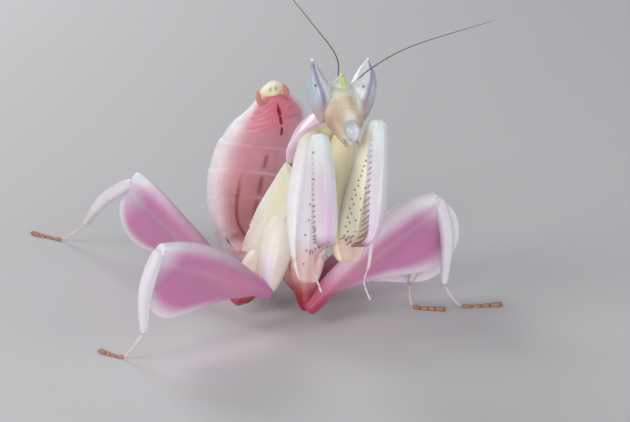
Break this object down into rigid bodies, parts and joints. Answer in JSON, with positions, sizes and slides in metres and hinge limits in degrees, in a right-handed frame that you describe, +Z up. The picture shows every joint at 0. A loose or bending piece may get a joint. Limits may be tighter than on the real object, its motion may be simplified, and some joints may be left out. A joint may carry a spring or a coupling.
{
  "type": "orchid mantis",
  "caption": "Life-size still model of a pink and white orchid mantis nymph, standing with its abdomen curled over its back and its grasping forelegs folded.",
  "frame": {"origin": "on the floor below the middle of the whole stance's box", "axes": "+Z up, the head faces -Y, the animal's left side is towards +X"},
  "size_m": [0.049, 0.0388, 0.0346],
  "materials": {
    "eyes": "glossy, bluish white with lavender stripes",
    "lime_yellow": "satin, lime yellow",
    "mouthparts": "glossy bluish white",
    "face": "satin, beige with peach lower half",
    "feelers": "satin grey-brown, paler at the base",
    "petal_pink": "waxy petal, pink-mauve middle fading to a white rim",
    "petal_white": "waxy petal white",
    "lavender": "waxy lavender white",
    "cream": "satin cream",
    "abdomen_pink": "satin mauve pink with white flanks and brown dashes",
    "coral": "satin coral red",
    "deep_red": "satin deep red",
    "foot_brown": "satin orange brown"
  },
  "bodies": {
    "root": {"eye_right": "eyes", "eye_left": "eyes", "vertex_horn": "lime_yellow", "labrum": "mouthparts", "head": "face", "antenna_right": "feelers", "antenna_left": "feelers", "pronotum": "petal_pink", "prothorax": "cream", "mesothorax": "cream", "metathorax": "cream", "neck": "cream", "forewing_pad_right": "cream", "hindwing_pad_right": "cream", "forewing_pad_left": "cream", "hindwing_pad_left": "cream", "abdomen_1": "abdomen_pink", "abdomen_2": "abdomen_pink", "abdomen_3": "abdomen_pink", "abdomen_4": "abdomen_pink", "abdomen_5": "abdomen_pink", "abdomen_6": "abdomen_pink", "abdomen_7": "coral", "abdomen_8": "coral", "supra_anal_plate": "lime_yellow", "cercus_right": "coral", "cercus_left": "coral", "midleg_right_coxa": "lavender", "midleg_right_femur": "petal_pink", "midleg_right_tibia": "petal_white", "midleg_right_tarsus": "foot_brown", "midleg_left_coxa": "deep_red", "midleg_left_femur": "petal_pink", "midleg_left_tibia": "petal_white", "midleg_left_tarsus": "foot_brown", "hindleg_right_coxa": "deep_red", "hindleg_right_femur": "petal_pink", "hindleg_right_tibia": "petal_white", "hindleg_right_tarsus": "foot_brown", "hindleg_left_coxa": "deep_red", "hindleg_left_femur": "petal_pink", "hindleg_left_tibia": "petal_white", "hindleg_left_tarsus": "foot_brown", "foreleg_right_femur": "lavender", "foreleg_right_tibia": "petal_white", "foreleg_right_coxa": "cream", "foreleg_right_tarsus": "petal_white", "foreleg_left_femur": "lavender", "foreleg_left_tibia": "petal_white", "foreleg_left_coxa": "cream", "foreleg_left_tarsus": "petal_white"}
  },
  "joints": []
}
